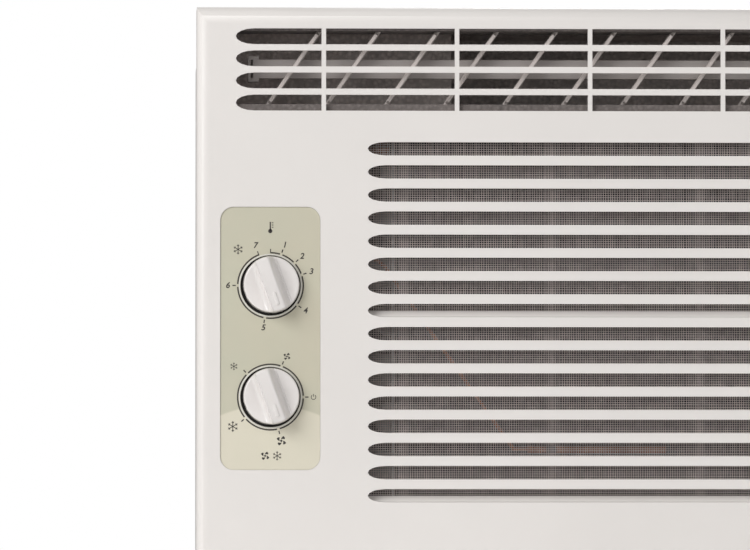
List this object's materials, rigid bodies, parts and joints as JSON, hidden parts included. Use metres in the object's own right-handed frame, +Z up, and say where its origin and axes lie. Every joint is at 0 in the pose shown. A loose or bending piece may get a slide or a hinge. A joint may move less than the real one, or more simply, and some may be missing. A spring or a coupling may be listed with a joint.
{
  "type": "window air conditioner",
  "caption": "Window air conditioner: slotted front panel with two dials, slanted coupled vanes, slide-out filter, coils, compressor and a shared-shaft fan set in a steel case.",
  "frame": {"origin": "middle of the footprint, on the surface under the base pan", "axes": "+X to the right seen from the front, -Y towards the room, +Z up"},
  "size_m": [0.406, 0.387, 0.305],
  "materials": {
    "panel_plastic": "satin moulded",
    "plate_film": "satin printed film",
    "knob_plastic": "gloss",
    "bright_steel": "zinc plated",
    "louvre_frame_plastic": "satin",
    "link_plastic": "satin",
    "vane_plastic": "satin",
    "filter_plastic": "satin",
    "filter_net": "woven",
    "case_paint": "satin powder coat",
    "galvanised_steel": "spangled zinc",
    "black_plastic": "matt",
    "black_rubber": "matt",
    "black_paint": "semi-gloss enamel",
    "fin_aluminium": "thin pressed sheet",
    "coated_aluminium": "thin pressed sheet with a dark drain coat",
    "copper": "drawn copper",
    "tray_plastic": "satin",
    "white_foam": "beaded foam",
    "duct_plastic": "satin",
    "motor_paint": "semi-gloss",
    "switch_plastic": "moulded",
    "can_aluminium": "drawn"
  },
  "bodies": {
    "case": {"front_panel": "panel_plastic", "control_plate": "plate_film", "louvre_frame": "louvre_frame_plastic", "panel_screws": "bright_steel", "cabinet": "case_paint", "base_pan": "galvanised_steel", "partition": "galvanised_steel", "fan_shroud": "black_plastic", "cabinet_screws": "bright_steel", "cord_gland": "black_rubber", "compressor": "black_paint", "accumulator": "black_paint", "terminal_cover": "black_plastic", "compressor_grommets": "black_rubber", "compressor_bolts": "bright_steel", "evaporator_fins": "coated_aluminium", "evaporator_tubes": "copper", "evaporator_plates": "galvanised_steel", "drip_tray": "tray_plastic", "condenser_fins": "fin_aluminium", "condenser_tubes": "copper", "condenser_plates": "galvanised_steel", "discharge_pipe": "copper", "suction_pipe": "copper", "capillary_tube": "copper", "filter_drier": "copper", "blower_housing": "white_foam", "inlet_ring": "black_plastic", "discharge_duct": "duct_plastic", "fan_motor": "motor_paint", "motor_bracket": "galvanised_steel", "control_box": "galvanised_steel", "thermostat": "switch_plastic", "thermostat_bulb": "copper", "mode_switch": "switch_plastic", "capacitor": "can_aluminium"},
    "temperature_dial": {"temperature_knob": "knob_plastic", "temperature_spindle": "bright_steel"},
    "mode_dial": {"mode_knob": "knob_plastic", "mode_spindle": "bright_steel"},
    "louvre_01": {"vane_01": "vane_plastic"},
    "louvre_02": {"vane_02": "vane_plastic"},
    "louvre_03": {"vane_03": "vane_plastic"},
    "louvre_04": {"vane_04": "vane_plastic"},
    "louvre_05": {"vane_05": "vane_plastic"},
    "louvre_06": {"vane_06": "vane_plastic"},
    "louvre_07": {"vane_07": "vane_plastic"},
    "louvre_08": {"vane_08": "vane_plastic"},
    "louvre_09": {"vane_09": "vane_plastic"},
    "louvre_10": {"vane_10": "vane_plastic"},
    "louvre_11": {"vane_11": "vane_plastic"},
    "link": {"vane_link": "link_plastic"},
    "filter": {"filter_frame": "filter_plastic", "filter_mesh": "filter_net"},
    "rotor": {"rotor_shaft": "bright_steel", "blower_wheel": "black_plastic", "condenser_fan": "black_plastic", "shaft_nuts": "bright_steel"}
  },
  "joints": [
    {"name": "temperature_turn", "type": "hinge", "parent": "case", "child": "temperature_dial", "pos_m": [-0.1646, -0.1815, 0.1612], "axis": [0, 1, 0], "range_deg": [-160, 179]},
    {"name": "mode_turn", "type": "hinge", "parent": "case", "child": "mode_dial", "pos_m": [-0.1646, -0.1815, 0.1037], "axis": [0, 1, 0], "range_deg": [-140, 155]},
    {"name": "louvre_01_swing", "type": "hinge", "parent": "case", "child": "louvre_01", "pos_m": [-0.153, -0.1696, 0.2736], "axis": [0.5736, 0, 0.8192], "range_deg": [-25, 25]},
    {"name": "louvre_02_swing", "type": "hinge", "parent": "case", "child": "louvre_02", "pos_m": [-0.1224, -0.1696, 0.2736], "axis": [0.5736, 0, 0.8192], "range_deg": [-25, 25]},
    {"name": "louvre_03_swing", "type": "hinge", "parent": "case", "child": "louvre_03", "pos_m": [-0.0918, -0.1696, 0.2736], "axis": [0.5736, 0, 0.8192], "range_deg": [-25, 25]},
    {"name": "louvre_04_swing", "type": "hinge", "parent": "case", "child": "louvre_04", "pos_m": [-0.0612, -0.1696, 0.2736], "axis": [0.5736, 0, 0.8192], "range_deg": [-25, 25]},
    {"name": "louvre_05_swing", "type": "hinge", "parent": "case", "child": "louvre_05", "pos_m": [-0.0306, -0.1696, 0.2736], "axis": [0.5736, 0, 0.8192], "range_deg": [-25, 25]},
    {"name": "louvre_06_swing", "type": "hinge", "parent": "case", "child": "louvre_06", "pos_m": [0, -0.1696, 0.2736], "axis": [0.5736, 0, 0.8192], "range_deg": [-25, 25]},
    {"name": "louvre_07_swing", "type": "hinge", "parent": "case", "child": "louvre_07", "pos_m": [0.0306, -0.1696, 0.2736], "axis": [0.5736, 0, 0.8192], "range_deg": [-25, 25]},
    {"name": "louvre_08_swing", "type": "hinge", "parent": "case", "child": "louvre_08", "pos_m": [0.0612, -0.1696, 0.2736], "axis": [0.5736, 0, 0.8192], "range_deg": [-25, 25]},
    {"name": "louvre_09_swing", "type": "hinge", "parent": "case", "child": "louvre_09", "pos_m": [0.0918, -0.1696, 0.2736], "axis": [0.5736, 0, 0.8192], "range_deg": [-25, 25]},
    {"name": "louvre_10_swing", "type": "hinge", "parent": "case", "child": "louvre_10", "pos_m": [0.1224, -0.1696, 0.2736], "axis": [0.5736, 0, 0.8192], "range_deg": [-25, 25]},
    {"name": "louvre_11_swing", "type": "hinge", "parent": "case", "child": "louvre_11", "pos_m": [0.153, -0.1696, 0.2736], "axis": [0.5736, 0, 0.8192], "range_deg": [-25, 25]},
    {"name": "link_shift", "type": "slide", "parent": "case", "child": "link", "axis": [-0.8192, 0, 0.5736], "range_m": [-0.00349, 0.00349]},
    {"name": "filter_slide", "type": "slide", "parent": "case", "child": "filter", "axis": [1, 0, 0], "range_m": [0, 0.3]},
    {"name": "rotor_spin", "type": "hinge", "parent": "case", "child": "rotor", "pos_m": [0.035, 0, 0.135], "axis": [0, 1, 0], "continuous": true}
  ],
  "couplings": [
    {"joint": "louvre_01_swing", "follows": "link_shift", "rad_per_m": 125},
    {"joint": "louvre_02_swing", "follows": "link_shift", "rad_per_m": 125},
    {"joint": "louvre_03_swing", "follows": "link_shift", "rad_per_m": 125},
    {"joint": "louvre_04_swing", "follows": "link_shift", "rad_per_m": 125},
    {"joint": "louvre_05_swing", "follows": "link_shift", "rad_per_m": 125},
    {"joint": "louvre_06_swing", "follows": "link_shift", "rad_per_m": 125},
    {"joint": "louvre_07_swing", "follows": "link_shift", "rad_per_m": 125},
    {"joint": "louvre_08_swing", "follows": "link_shift", "rad_per_m": 125},
    {"joint": "louvre_09_swing", "follows": "link_shift", "rad_per_m": 125},
    {"joint": "louvre_10_swing", "follows": "link_shift", "rad_per_m": 125},
    {"joint": "louvre_11_swing", "follows": "link_shift", "rad_per_m": 125}
  ]
}
